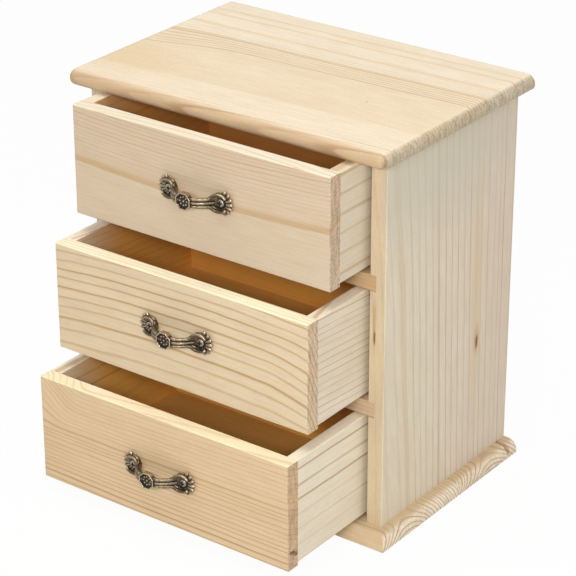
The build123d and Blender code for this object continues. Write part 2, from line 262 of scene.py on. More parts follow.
# %% Growth rings as a node group
SLOW_DRIFT = (7.0, 20.0)
QUICK_DRIFT = (45.0, 130.0)
QUICK_WANDER = 0.7 * MM
NOISE_MIDDLE = 0.5


def add_sockets(group, direction, sockets):
    """Name the inputs or outputs of a node group."""
    for name, kind in sockets:
        group.interface.new_socket(name=name, in_out=direction, socket_type="NodeSocket" + kind)


rings = bpy.data.node_groups.new("pine_rings", "ShaderNodeTree")
add_sockets(rings, "INPUT", [
    ("Place", "Vector"), ("Ring Width", "Float"), ("Wander", "Float"), ("Bow", "Float"),
    ("Taper", "Float"), ("Late Share", "Float"), ("Uneven", "Float"),
])
add_sockets(rings, "OUTPUT", [
    ("Lines", "Float"), ("Radius", "Float"), ("Fibre", "Float"), ("Tone", "Float"), ("Cloud", "Float"),
])
into = rings.nodes.new("NodeGroupInput").outputs
place = parts_of(rings, into["Place"])
along = work_out(rings, "MULTIPLY", place["X"], place["X"])
height = work_out(rings, "ADD", place["Z"], work_out(rings, "MULTIPLY", along, into["Bow"]))
across = work_out(rings, "MULTIPLY", place["Y"], place["Y"])
from_middle = work_out(rings, "SQRT", work_out(rings, "MULTIPLY_ADD", height, height, across))
widening = work_out(rings, "MULTIPLY_ADD", place["X"], into["Taper"], 1.0)
slow = work_out(rings, "SUBTRACT", stretched_noise(rings, into["Place"], *SLOW_DRIFT), NOISE_MIDDLE)
slow = work_out(rings, "MULTIPLY", slow, into["Wander"])
quick = work_out(rings, "SUBTRACT", stretched_noise(rings, into["Place"], *QUICK_DRIFT), NOISE_MIDDLE)
wander = work_out(rings, "MULTIPLY_ADD", quick, QUICK_WANDER, slow)
radius = work_out(rings, "MULTIPLY_ADD", from_middle, widening, wander)
print("nodes for the radius:", len(rings.nodes))

# %% [markdown]
# A ring is one year. Its wood is pale in spring, darkens through the summer and ends in a sharp line
# where the next year starts. A plain wave would give soft, even stripes, so the season within each
# year is worked out instead. No two years are alike: their widths spread a little and each has its
# own strength, drawn from its number. Besides the lines, the group gives the fibres and two kinds
# of slow shade, which the materials use as they need.

# %% Seasons of a ring
YEAR_SPREAD = 95.0
WEAKEST_YEAR = 0.5
DARKEST_SEASON = 0.9
YEAR_END = (0.92, 1.0)
LINE_FADING = (14.0, 60.0)
FADING_SPAN = (0.3, 0.7)
FAINTEST_LINE = 0.7
SHADES = {"Fibre": (40.0, 950.0), "Tone": (4.0, 26.0), "Cloud": (60.0, 160.0)}
SHADE_DETAIL = 3.0

spread = add_node(
    rings, "ShaderNodeTexNoise",
    {"W": work_out(rings, "MULTIPLY", radius, YEAR_SPREAD), "Scale": 1.0, "Detail": 1.0},
    noise_dimensions="1D",
).outputs[0]
uneven = work_out(rings, "MULTIPLY", work_out(rings, "SUBTRACT", spread, NOISE_MIDDLE), into["Uneven"])
years = work_out(rings, "ADD", work_out(rings, "DIVIDE", radius, into["Ring Width"]), uneven)
season = work_out(rings, "FRACT", years)
year = work_out(rings, "FLOOR", years)
chance = add_node(rings, "ShaderNodeTexWhiteNoise", {"W": year}, noise_dimensions="1D").outputs["Value"]
strength = ease(rings, chance, 0.0, 1.0, WEAKEST_YEAR, 1.0)
late_start = work_out(rings, "SUBTRACT", 1.0, into["Late Share"])
darkening = ease(rings, season, late_start, DARKEST_SEASON)
ending = ease(rings, season, *YEAR_END, 1.0, 0.0)
lines = work_out(rings, "MULTIPLY", work_out(rings, "MULTIPLY", darkening, ending), strength)
fading = stretched_noise(rings, into["Place"], *LINE_FADING)
lines = work_out(rings, "MULTIPLY", lines, ease(rings, fading, *FADING_SPAN, FAINTEST_LINE, 1.0))
out_of = rings.nodes.new("NodeGroupOutput").inputs
rings.links.new(lines, out_of["Lines"])
rings.links.new(radius, out_of["Radius"])
for shade_name, waves in SHADES.items():
    rings.links.new(stretched_noise(rings, into["Place"], *waves, SHADE_DETAIL), out_of[shade_name])
print("pine_rings nodes:", len(rings.nodes))

# %% [markdown]
# Bands make some years darker or their lines bolder. Rings swing round a knot even where the knot
# itself was sawn off, so a swirl lifts them near a point. Knots, resin and cracks are spots of their
# own. All three could be painted, but given by place they stay where the board has them.


# %% Helpers for bands, swirls and spots
def in_metres(lengths):
    """Millimetres to metres."""
    return [length * MM for length in lengths]


def spot_distance(tree, point, middle, half_sizes):
    """Distance of a point from a spot's middle, in half sizes of the spot."""
    shifted = work_out_point(tree, "SUBTRACT", point, in_metres(middle))
    scaled = work_out_point(tree, "DIVIDE", shifted, in_metres(half_sizes))
    return add_node(tree, "ShaderNodeVectorMath", {0: scaled}, operation="LENGTH").outputs["Value"]


def swirled(tree, point, object_point, swirls):
    """Lift the rings near each swirl, given as (middle, reach along X, Y and Z, rise) in mm."""
    for middle, reach, rise in swirls:
        lift = ease(tree, spot_distance(tree, object_point, middle, reach), 0.0, 1.0, rise * MM, 0.0)
        drop = add_node(tree, "ShaderNodeCombineXYZ", {"Z": lift}).outputs[0]
        point = work_out_point(tree, "SUBTRACT", point, drop)
    return point


def band_ramp(tree, radius, bands):
    """Colour and line strength by ring: bands are (mm from the trunk's middle, colour, strength)."""
    low, high = bands[0][0], bands[-1][0]
    inputs = {"Value": radius, "From Min": low * MM, "From Max": high * MM}
    share = add_node(tree, "ShaderNodeMapRange", inputs).outputs["Result"]
    ramp = add_node(tree, "ShaderNodeValToRGB", {"Fac": share})
    stops = ramp.color_ramp.elements
    for number, (distance, colour, strength) in enumerate(bands):
        if number in (0, len(bands) - 1):
            stop = stops[0] if number == 0 else stops[-1]
        else:
            stop = stops.new((distance - low) / (high - low))
        stop.color = (*colour, strength)
    return ramp.outputs["Color"], ramp.outputs["Alpha"]


print("band, swirl and spot helpers ready")

# %% [markdown]
# Boards differ in many small ways. Each could have its material written out in full, but a change to
# the wood would then have to be made many times over. Instead one table holds what a plain board
# has, and each board names only what differs.

# %% What a board can have
PLAIN_WHITE = (1.0, 1.0, 1.0)
PINE = {
    # Early and late wood, and how strongly the lines and the slow shades show.
    "early": (0.80, 0.64, 0.45), "late": (0.60, 0.42, 0.24), "lines": 0.7, "tone": 0.14,
    # Ring width and wander in mm, the trunk's bow, taper and tilt, and the shape of a year.
    "ring": 4.0, "wander": 3.0, "bow": 0.0, "taper": 0.0, "tilt": (0, 0, 0),
    "late_share": 0.36, "uneven": 0.9,
    # A strip glued on behind a seam: the seam's Y and the strip's trunk.
    "glued": None,
    # The sawn ends: tint, strength of the lines, and light from torn to whole fibres.
    "end_tint": (0.89, 0.85, 0.84), "end_lines": 1.7, "end_light": (0.76, 1.12),
    # Bands and swirls as above, and spots of (middle, half sizes, colour, share).
    "bands": None, "swirls": [], "spots": [],
    # The tinted face as (axis, sense), its tint (stain with painted shade inside the drawers, painted shade
    # on the top's front, edge colour with painted shade on the side panels' front edges), the turn at which
    # it starts and is full, the depth from start to full with its share at the start, the lines under it, and
    # the painted light of upper faces.
    "tinted": None, "tint": PLAIN_WHITE, "tint_from": (0.5, 0.9), "tint_depth": None, "tint_at_front": 1.0,
    "tinted_lines": 1.0, "upper_painted_light": PLAIN_WHITE,
}
print("facts of a board:", len(PINE))

# %% [markdown]
# Each board was sawn from its own place in a tree. One material for all of them would let the grain
# run through from board to board, so each gets its own trunk, ring width and colours. The colour
# goes from early to late wood by the strength of the line. Lines stand out on the sawn ends and
# are weaker under the stain and painted shade of the insides.

# %% Rings and colour of one board
GRAIN_TURN = {"X": (0, 0, 0), "Y": (0, 0, 90), "Z": (0, -90, 0)}
TONE_SPAN = (0.35, 0.75)
CLOUD_SPAN = (0.35, 0.7)
CLOUD_SHADE = 0.09


def trunk_place(tree, point, grain, trunk, tilt):
    """A point seen from the middle of the trunk, with the trunk along X."""
    turn_angles = [math.radians(a + b) for a, b in zip(GRAIN_TURN[grain], tilt)]
    inputs = {"Vector": point, "Location": in_metres(trunk), "Rotation": turn_angles}
    return add_node(tree, "ShaderNodeMapping", inputs, vector_type="TEXTURE").outputs[0]


def board_rings(tree, here, grain, trunk, facts):
    """The growth rings of one board, with a glued strip and swirls where it has them."""
    point = trunk_place(tree, here, grain, trunk, facts["tilt"])
    if facts["glued"]:
        seam, strip_trunk = facts["glued"]
        beyond = work_out(tree, "GREATER_THAN", parts_of(tree, here)["Y"], seam * MM)
        strip = trunk_place(tree, here, grain, strip_trunk, facts["tilt"])
        choice = add_node(tree, "ShaderNodeMix", {0: beyond, 4: point, 5: strip}, data_type="VECTOR")
        point = choice.outputs[1]
    inputs = {
        "Place": swirled(tree, point, here, facts["swirls"]), "Ring Width": facts["ring"] * MM,
        "Wander": facts["wander"] * MM, "Bow": facts["bow"], "Taper": facts["taper"],
        "Late Share": facts["late_share"], "Uneven": facts["uneven"],
    }
    return add_node(tree, "ShaderNodeGroup", inputs, node_tree=rings).outputs


def ring_colour(tree, wood, end, towards, facts):
    """Early and late wood by ring: end is 1 on the sawn ends, towards is 1 on a tinted face."""
    early, late = (*facts["early"], 1.0), (*facts["late"], 1.0)
    colour = early
    line_share = work_out(tree, "MULTIPLY", wood["Lines"], facts["lines"])
    if towards is not None:
        under_tint = ease(tree, towards, 0.0, 1.0, 1.0, facts["tinted_lines"])
        line_share = work_out(tree, "MULTIPLY", line_share, under_tint)
    if facts["bands"]:
        band_colour, band_strength = band_ramp(tree, wood["Radius"], facts["bands"])
        line_share = work_out(tree, "MULTIPLY", line_share, band_strength)
        colour = blend(tree, 1.0, early, band_colour, "MULTIPLY")
    end_share = work_out(tree, "MULTIPLY", wood["Lines"], facts["end_lines"])
    colour = blend(tree, between(tree, end, line_share, end_share), colour, late)
    slow_shade = ease(tree, wood["Tone"], *TONE_SPAN, facts["tone"], 0.0)
    shade = work_out(tree, "ADD", slow_shade, ease(tree, wood["Cloud"], *CLOUD_SPAN, CLOUD_SHADE, 0.0))
    return blend(tree, shade, colour, late)


print("rings and colour of a board ready")

# %% [markdown]
# The ends of a board drink in light, and the saw leaves them rough, with torn fibres and open pores.
# The insides of the drawers are stained brown and carry painted shade, more so towards the back, and the
# upper edges of the drawers' boards are lightened as painted light. Each of these could be a material of its
# own on some faces, but a tint on the faces that look one way lets one board keep one material.

# %% Pine for one board
END_TURN = (0.25, 0.75)
UPWARD_TURN = (0.5, 0.9)
TORN_SCALE = (520.0, 520.0, 110.0)  # torn fibres stand upright on the ends
TORN_SPAN = (0.38, 0.6)
PORE_SCALE = 1200.0
PORE_SPAN, PORE_LIGHT = (0.3, 0.6), (0.955, 1.01)
FIBRE_SPAN, FIBRE_LIGHT = (0.25, 0.75), (0.94, 1.03)
SPOT_EDGE = (0.3, 1.0)
SPOT_BREAK = 1.2
PINE_ROUGHNESS = (0.66, 0.52)  # early and late wood
PINE_SHINE = 0.35
LINE_RELIEF = 0.5
END_RELIEF = 4.0
PINE_BUMP = (0.25, 0.2 * MM)


def pine_material(name, grain, trunk, **changes):
    """Pine for one board: the axis of its grain, its trunk's middle in mm, and what differs from PINE."""
    facts = dict(PINE, **changes)
    material, tree, shader = new_material(name)
    where = add_node(tree, "ShaderNodeTexCoord").outputs
    here = where["Object"]
    facing = parts_of(tree, where["Normal"])
    end = ease(tree, work_out(tree, "ABSOLUTE", facing[grain]), *END_TURN)
    towards = None
    if facts["tinted"]:
        axis, sense = facts["tinted"]
        towards = ease(tree, work_out(tree, "MULTIPLY", facing[axis], sense), *facts["tint_from"])
    wood = board_rings(tree, here, grain, trunk, facts)
    colour = ring_colour(tree, wood, end, towards, facts)

    # Torn ends, and the light of fibres and pores.
    torn = fine_noise(tree, work_out_point(tree, "MULTIPLY", here, TORN_SCALE), 1.0)
    pores = fine_noise(tree, here, PORE_SCALE)
    rough_end = work_out(tree, "MULTIPLY", work_out(tree, "ADD", torn, pores), 0.5)
    end_light = ease(tree, rough_end, *TORN_SPAN, *facts["end_light"])
    fibre_light = ease(tree, wood["Fibre"], *FIBRE_SPAN, *FIBRE_LIGHT)
    face_light = work_out(tree, "MULTIPLY", fibre_light, ease(tree, pores, *PORE_SPAN, *PORE_LIGHT))
    colour = blend(tree, 1.0, colour, between(tree, end, face_light, end_light), "MULTIPLY")
    colour = blend(tree, end, colour, (*facts["end_tint"], 1.0), "MULTIPLY")

    # Knots, resin and cracks, with a broken edge.
    broken = work_out(tree, "SUBTRACT", rough_end, NOISE_MIDDLE)
    for middle, half_sizes, spot_colour, share in facts["spots"]:
        away = spot_distance(tree, here, middle, half_sizes)
        away = work_out(tree, "MULTIPLY_ADD", broken, SPOT_BREAK, away)
        colour = blend(tree, ease(tree, away, *SPOT_EDGE, share, 0.0), colour, (*spot_colour, 1.0))

    # Tinted faces, and painted light on the upper faces.
    # Inside the drawers the tint grows from the front to the back, as painted shade.
    if facts["tint_depth"]:
        start, full = in_metres(facts["tint_depth"])
        depth = ease(tree, parts_of(tree, here)["Y"], start, full, facts["tint_at_front"], 1.0)
        towards = work_out(tree, "MULTIPLY", towards, depth)
    if towards is not None:
        colour = blend(tree, towards, colour, (*facts["tint"], 1.0), "MULTIPLY")
    upwards = ease(tree, facing["Z"], *UPWARD_TURN)
    colour = blend(tree, upwards, colour, (*facts["upper_painted_light"], 1.0), "MULTIPLY")

    roughness = ease(tree, wood["Lines"], 0.0, 1.0, *PINE_ROUGHNESS)
    face_relief = work_out(tree, "MULTIPLY_ADD", wood["Lines"], LINE_RELIEF, wood["Fibre"])
    relief = between(tree, end, face_relief, work_out(tree, "MULTIPLY", rough_end, END_RELIEF))
    finish_surface(tree, shader, colour, roughness, relief, *PINE_BUMP)
    shader.inputs["Specular IOR Level"].default_value = PINE_SHINE
    return material


print("pine ready")

# %% [markdown]
# A board comes in with a plain material from the solids. It is taken off and the wood put on, and
# the board's mesh stays as it is.


# %% Dressing a board
def dress(node_name, material):
    """Give a board its material."""
    board = nodes[node_name].data
    board.materials.clear()
    board.materials.append(material)


def dress_in_pine(boards):
    """Give each board a pine of its own."""
    for board_name, facts in boards.items():
        dress(board_name, pine_material("pine_" + board_name, **facts))


print("boards can be dressed")

# %% [markdown]
# The top has a few brown years at the rear, a group of fine lines in its middle and pale sapwood
# along the front. A warm swirl comes in from the left, and a pin knot sits right of the middle.
# Painted stripes would stop at the edges, but bands by ring run on over them. They are listed from
# the rear to the front.

# %% Top board
TAN = (0.90, 0.82, 0.71)
BROWN = (0.83, 0.73, 0.59)
FINE_LINED = (0.95, 0.905, 0.83)
WARM_ZONE = (0.935, 0.895, 0.825)
WARM_EDGE = (0.915, 0.86, 0.775)
SAPWOOD = (0.98, 0.965, 0.93)
HONEY = (0.70, 0.50, 0.28)
PIN_KNOT = (0.35, 0.22, 0.12)
TOP_BANDS = [
    (54, PLAIN_WHITE, 0.1), (63.0, PLAIN_WHITE, 0.1), (64.2, TAN, 0.1), (66.2, PLAIN_WHITE, 0.1),
    (70.0, PLAIN_WHITE, 0.1), (71.2, TAN, 0.1), (73.2, PLAIN_WHITE, 0.1), (84.4, PLAIN_WHITE, 0.1),
    (86.0, TAN, 0.2), (88.6, PLAIN_WHITE, 0.3), (98.6, PLAIN_WHITE, 0.5), (100.4, BROWN, 0.8),
    (102.4, FINE_LINED, 1.0), (116.0, FINE_LINED, 1.0), (117.2, WARM_ZONE, 0.1), (142.0, WARM_ZONE, 0.15),
    (163.0, WARM_EDGE, 0.1), (165.0, SAPWOOD, 0.1), (182.0, SAPWOOD, 0.15), (190.0, SAPWOOD, 0.55),
    (200.0, SAPWOOD, 0.55),
]
TOP = {
    "top_board": dict(
        grain="X", trunk=(0, 120, 205), tilt=(90, 0, 0), ring=2.7, taper=0.3, late_share=0.5, lines=1.5,
        early=(0.90, 0.80, 0.63), late=(0.58, 0.41, 0.25), bands=TOP_BANDS,
        end_tint=(0.67, 0.66, 0.64), end_lines=0.7,
        # The tint darkens the faces that turn to the front, as painted shade on the rounding.
        tinted=("Y", -1), tint=(0.66, 0.555, 0.46), tint_from=(0.0, 0.8),
        swirls=[((-112, -14, 234), (80, 46, 46), 13)],
        spots=[((-106, -32, 234.7), (78, 32, 30), HONEY, 0.42),
               ((56, -14, 234.7), (0.9, 0.6, 1.0), PIN_KNOT, 0.9)],
    ),
}
dress_in_pine(TOP)
print("top board dressed with bands:", len(TOP_BANDS))

# %% [markdown]
# The right side has upright lines that lean back towards the foot, and a small knot with a warm halo
# and a streak above it. A greyer painted shade, as under the top's overhang, lies over its upper part. On its
# front edge a dark flaw shows beside the middle drawer. The knot could have rings of its own, but it is so
# small that two spots, a dark one in a warm one, are enough. The left side is plainer.

# %% Side panels
SIDE_PALE = (0.99, 1.0, 0.96)
SIDE_STRIPE = (0.90, 0.83, 0.72)
SIDE_WARM = (1.0, 0.99, 0.98)
SIDE_ROSY = (0.985, 0.955, 0.95)
# Painted shade over the upper part of the right side.
UPPER_PAINTED_SHADE = (0.60, 0.57, 0.46)
STREAK = (0.70, 0.54, 0.35)
KNOT_HALO = (0.60, 0.40, 0.21)
KNOT = (0.20, 0.10, 0.04)
EDGE_FLAW = (0.50, 0.33, 0.16)
EDGE_FLAW_HEART = (0.20, 0.11, 0.05)
SIDE_BANDS = [
    (40, SIDE_PALE, 0.3), (52.4, SIDE_PALE, 0.4), (54.0, SIDE_STRIPE, 0.4), (56.4, SIDE_PALE, 0.5),
    (62, SIDE_PALE, 0.9), (90, SIDE_WARM, 1.0), (150, SIDE_ROSY, 1.0),
]
# The front edges' tint is partly the edge's own warmer wood and partly painted shade under the top's
# overhang.
PALE_PINE = dict(
    grain="Z", early=(0.795, 0.715, 0.585), late=(0.50, 0.35, 0.20), tinted=("Y", -1), tint=(0.83, 0.76, 0.67)
)
SIDE_PANELS = {
    "right_side_panel": dict(
        PALE_PINE, trunk=(60, -78, 117), tilt=(0, -5.5, 90), taper=-0.56, ring=5.6, late_share=0.3, lines=0.8,
        bands=SIDE_BANDS, swirls=[((100, -62, 228), (99, 45, 110), 6), ((100, -52, 4), (99, 45, 100), -5)],
        # The first spot is painted shade over the upper part of the side.
        spots=[((100, -10, 226), (6, 130, 75), UPPER_PAINTED_SHADE, 0.6),
               ((100, 33, 112), (6, 6.5, 105), STREAK, 0.6),
               ((100, 34.3, 86), (6, 4, 13), KNOT_HALO, 0.75),
               ((100, 34.4, 84.7), (6, 1.8, 6.2), KNOT, 0.97),
               ((93.2, -58.5, 131), (1.6, 3, 20), EDGE_FLAW, 0.6),
               ((93.5, -58.5, 123), (1.0, 3, 6), EDGE_FLAW_HEART, 0.9)],
    ),
    "left_side_panel": dict(PALE_PINE, trunk=(-60, -90, 117), tilt=(0, 3, 90), ring=4.6),
}
dress_in_pine(SIDE_PANELS)
print("side panels dressed:", len(SIDE_PANELS))

# %% [markdown]
# The base is glued from two strips, so its ends show two sets of bold arched rings. A dark patch of
# resin sits near the right rear corner. The strips could be two materials, but a seam inside one
# material keeps the board whole. The shelves between the drawers show only at the front, in the
# browner wood of the heart, and the upper shelf is darker still as painted shade.

# %% Base board and shelves
RESIN = (0.30, 0.17, 0.06)
HEARTWOOD = dict(grain="X", late=(0.42, 0.27, 0.14), ring=2.5, lines=0.9)
BASE_AND_SHELVES = {
    "base_board": dict(
        grain="X", trunk=(0, -44, -18), glued=(8, (0, 42, -22)), ring=2.3, wander=5.0, uneven=1.4,
        late_share=0.46, early=(0.678, 0.522, 0.337), late=(0.35, 0.22, 0.11),
        # The ends are tinted far lighter than the faces, as painted light.
        end_tint=(1.31, 1.46, 1.75), end_lines=1.5, end_light=(0.86, 1.07),
        spots=[((108.8, 61, 6), (6, 2.0, 3.0), RESIN, 0.8)],
    ),
    # The upper shelf's wood is darker than the lower one's, as painted shade.
    "upper_shelf": dict(HEARTWOOD, trunk=(0, -80, 240), early=(0.57, 0.385, 0.205)),
    "lower_shelf": dict(HEARTWOOD, trunk=(0, -90, 150), early=(0.62, 0.46, 0.30)),
}
dress_in_pine(BASE_AND_SHELVES)
print("base and shelves dressed:", len(BASE_AND_SHELVES))

# %% [markdown]
# The three fronts differ plainly. The upper one has fine lines above a brown stripe and is plain
# below it. The middle one has bold lines in a shallow arch. The lower one is of warmer wood with
# close lines that swing up into its left corner, and a dark crack follows one ring at its right end.
# The crack could be cut into the board, but it is only a hair wide, so a row of small flat spots
# draws it.

# %% Fronts of the drawers
CRACK_PATH = [((86.4, -123.0, 19.3), 0.95), ((86.4, -121.6, 18.4), 0.95), ((86.4, -120.2, 17.3), 0.95),
              ((86.4, -118.8, 16.0), 0.9)]
CRACK_SIZE = (3.0, 3.2, 0.85)
CRACK_BROWN = (0.11, 0.045, 0.016)
# Painted light: the fronts' upper edges are lightened as if lit from above.
FRONT_TOP_PAINTED_LIGHT = (1.41, 1.60, 1.74)
TOP_FRONT_BANDS = [
    (84, PLAIN_WHITE, 0.05), (107.3, (0.99, 0.985, 0.97), 0.05), (107.8, (0.83, 0.71, 0.54), 0.1),
    (109.8, (0.86, 0.75, 0.59), 0.2), (111.6, (0.99, 0.97, 0.94), 0.4), (122, PLAIN_WHITE, 0.5),
    (130, (0.985, 0.965, 0.95), 1.0), (140, (0.97, 0.95, 0.93), 1.0),
]
BOTTOM_FRONT_BANDS = [
    (40, PLAIN_WHITE, 1.0), (58, PLAIN_WHITE, 1.0), (66, PLAIN_WHITE, 0.4), (78, (0.98, 0.95, 0.92), 0.7),
    (88, (1.0, 0.985, 0.97), 0.3), (104, PLAIN_WHITE, 0.35), (120, PLAIN_WHITE, 0.8),
]
FRONTS = {
    "top": dict(
        trunk=(0, -30, 100), ring=2.0, wander=1.5, bow=-0.45, lines=1.35, bands=TOP_FRONT_BANDS,
        early=(0.628, 0.514, 0.375), late=(0.475, 0.33, 0.20), end_tint=(0.96, 0.92, 0.905),
    ),
    "middle": dict(
        trunk=(10, -382, -7), ring=2.6, wander=2.0, bow=0.38, late_share=0.34, uneven=0.6, lines=1.35,
        early=(0.695, 0.572, 0.40), late=(0.465, 0.31, 0.143), end_tint=(0.96, 0.92, 0.905),
        swirls=[((102, -109, 104), (46, 46, 46), -7)],
    ),
    "bottom": dict(
        trunk=(0, -152, -34), tilt=(0, 3, 0), taper=-0.8, ring=2.7, wander=2.0, late_share=0.42, uneven=1.5,
        lines=1.8, early=(0.702, 0.538, 0.348), late=(0.447, 0.29, 0.133), end_tint=(0.89, 0.83, 0.81),
        end_lines=0.6, bands=BOTTOM_FRONT_BANDS, swirls=[((-94, -126, 76), (40, 40, 40), 18)],
        spots=[(middle, CRACK_SIZE, CRACK_BROWN, share) for middle, share in CRACK_PATH],
    ),
}
# Brown tint inside each drawer: partly stain, partly painted shade. The lines are fainter under it.
INSIDE_STAIN_AND_SHADE = {"top": (0.95, 0.485, 0.155), "middle": (0.92, 0.49, 0.125), "bottom": (0.97, 0.55, 0.145)}
LINES_UNDER_STAIN_AND_SHADE = 0.6
insides = {}
for drawer_name, stain_and_shade in INSIDE_STAIN_AND_SHADE.items():
    insides[drawer_name] = dict(tint=stain_and_shade, tinted_lines=LINES_UNDER_STAIN_AND_SHADE)
    front = dict(FRONTS[drawer_name], grain="X", tinted=("Y", 1), upper_painted_light=FRONT_TOP_PAINTED_LIGHT)
    dress_in_pine({drawer_name + "_drawer_front": dict(front, **insides[drawer_name])})
print("fronts dressed:", list(FRONTS))

# %% [markdown]
# The sides and backs of the drawers are of lighter wood with straight lines, wide apart on the upper
# and lower drawer and close on the middle one. The stain and painted shade of the sides grow from the
# front to the back. One wood for all three drawers would look repeated, so each has its own tree, and
# both sides of a drawer come from it, a little apart.

# %% Sides and backs of the drawers
# Painted light: the upper edges of the drawers' sides and backs are lightened as if lit from above.
SIDE_TOP_PAINTED_LIGHT = (1.15, 1.15, 1.15)
# Depths over which the stain and painted shade on the drawers' sides grow to full.
STAIN_AND_SHADE_DEPTHS = (9, 55)  # from the drawer's face
LEFT_SHIFT = (7, 4)
BACK_SHIFT = (12, -60)
BACK_TRUNK_Y = 60
STRONG_LINES_ABOVE = [
    (80, PLAIN_WHITE, 0.35), (132, PLAIN_WHITE, 0.35), (135, PLAIN_WHITE, 1.0), (180, PLAIN_WHITE, 1.0)
]
LIGHT_WOOD = dict(grain="Y", late=(0.52, 0.37, 0.21), wander=0.8, late_share=0.24, upper_painted_light=SIDE_TOP_PAINTED_LIGHT)
SIDES = {
    "top": dict(ring=10.5, lines=0.9, early=(0.73, 0.655, 0.52), uneven=0.2, tint_at_front=0.7),
    "middle": dict(
        ring=3.9, tilt=(0, 4, 0), lines=1.1, early=(0.795, 0.71, 0.575), uneven=0.6, tint_at_front=0.3
    ),
    "bottom": dict(
        ring=8.6, tilt=(0, 1, 0), lines=1.2, early=(0.865, 0.795, 0.64), uneven=0.2, tint_at_front=0.3,
        bands=STRONG_LINES_ABOVE,
    ),
}
SIDE_TRUNKS = {"top": (40, 0, 62.8), "middle": (40, 0, 0), "bottom": (40, 0, -81.5)}
DRAWER_FACES = {"top": -89.9, "middle": -109.0, "bottom": -126.5}
for drawer_name, facts in SIDES.items():
    x, y, z = SIDE_TRUNKS[drawer_name]
    depth = [DRAWER_FACES[drawer_name] + distance for distance in STAIN_AND_SHADE_DEPTHS]
    side = dict(LIGHT_WOOD, tint_depth=depth, **facts, **insides[drawer_name])
    dress_in_pine({
        drawer_name + "_drawer_right_side": dict(side, trunk=(x, y, z), tinted=("X", -1)),
        drawer_name + "_drawer_left_side": dict(
            side, trunk=(-x, y + LEFT_SHIFT[0], z + LEFT_SHIFT[1]), tinted=("X", 1)
        ),
        drawer_name + "_drawer_back": dict(
            grain="X", trunk=(y + BACK_SHIFT[0], BACK_TRUNK_Y, z + BACK_SHIFT[1]), early=facts["early"],
            lines=0.4, tinted=("Y", -1), upper_painted_light=SIDE_TOP_PAINTED_LIGHT, **insides[drawer_name],
        ),
    })
print("sides and backs dressed for:", list(SIDES))

# %% [markdown]
# The thin panels, the drawers' floors and the back of the case, are plywood. Its outer ply is sliced
# round the log, so the rings are cut almost flat and show as broad soft flames, and its edges show
# the plies as stripes. The same group of rings does for it, with close rings that wander far.

# %% Plywood panels
PLY_THICKNESS = 1.0
PLY_RINGS = {"Ring Width": 1.6 * MM, "Wander": 20 * MM, "Late Share": 0.6, "Uneven": 1.2}
PLY_TILT = (0, 0, 3)
PLY_LINES = 0.6
PLY_EDGE_TURN = (0.4, 0.7)
PLY_STRIPE, STRIPE_LIGHT = (0.2, 0.3), 0.66
PLY_TONE_SPAN, PLY_TONE_LIGHT = (0.2, 0.8), (0.86, 1.06)
PLY_FIBRE_LIGHT = (0.92, 1.05)
PLY_ROUGHNESS = (0.72, 0.58)
PLY_SHINE = 0.3
PLY_BUMP = (0.3, 0.2 * MM)


def plywood_material(name, trunk, across_axis, early, late):
    """Plywood: flat-cut veneer on the faces, stripes of ply on the edges."""
    material, tree, shader = new_material(name)
    where = add_node(tree, "ShaderNodeTexCoord").outputs
    point = trunk_place(tree, where["Object"], "X", trunk, PLY_TILT)
    wood = add_node(tree, "ShaderNodeGroup", {"Place": point, **PLY_RINGS}, node_tree=rings).outputs
    through = parts_of(tree, where["Object"])[across_axis]
    facing = parts_of(tree, where["Normal"])[across_axis]
    edge = ease(tree, work_out(tree, "ABSOLUTE", facing), *PLY_EDGE_TURN, 1.0, 0.0)
    layer = work_out(tree, "FRACT", work_out(tree, "DIVIDE", through, 2 * PLY_THICKNESS * MM))
    from_middle_ply = work_out(tree, "ABSOLUTE", work_out(tree, "SUBTRACT", layer, 0.5))
    stripes = ease(tree, from_middle_ply, *PLY_STRIPE, 1.0, STRIPE_LIGHT)
    lines = work_out(tree, "MULTIPLY", wood["Lines"], PLY_LINES)
    colour = blend(tree, lines, (*early, 1.0), (*late, 1.0))
    light = ease(tree, wood["Tone"], *PLY_TONE_SPAN, *PLY_TONE_LIGHT)
    light = work_out(tree, "MULTIPLY", light, ease(tree, wood["Fibre"], *FIBRE_SPAN, *PLY_FIBRE_LIGHT))
    colour = blend(tree, 1.0, colour, light, "MULTIPLY")
    colour = blend(tree, edge, colour, stripes, "MULTIPLY")
    roughness = ease(tree, wood["Fibre"], *PLY_TONE_SPAN, *PLY_ROUGHNESS)
    finish_surface(tree, shader, colour, roughness, wood["Fibre"], *PLY_BUMP)
    shader.inputs["Specular IOR Level"].default_value = PLY_SHINE
    return material


# The drawers' floors are stained orange-brown, and their colour also carries painted shade.
STAINED_AND_SHADED_PLY = ((0.70, 0.38, 0.10), (0.61, 0.315, 0.08))
BARE_PLY = ((0.80, 0.62, 0.40), (0.60, 0.42, 0.24))
FLOOR_TRUNKS = {"top": (0, 5, -140), "middle": (0, 19, -65), "bottom": (0, 33, 10)}
BACK_PANEL_TRUNK = (-10, 200, 100)
for drawer_name, floor_trunk in FLOOR_TRUNKS.items():
    floor_ply = plywood_material(drawer_name + "_floor_ply", floor_trunk, "Z", *STAINED_AND_SHADED_PLY)
    dress(drawer_name + "_drawer_floor", floor_ply)
dress("back_panel", plywood_material("back_ply", BACK_PANEL_TRUNK, "Y", *BARE_PLY))
print("plywood panels dressed:", len(FLOOR_TRUNKS) + 1)

# %% [markdown]
# Dowels are turned from beech, a denser wood with close rings. They could share the pine of their
# boards, but where an end shows, it is plainly another wood.

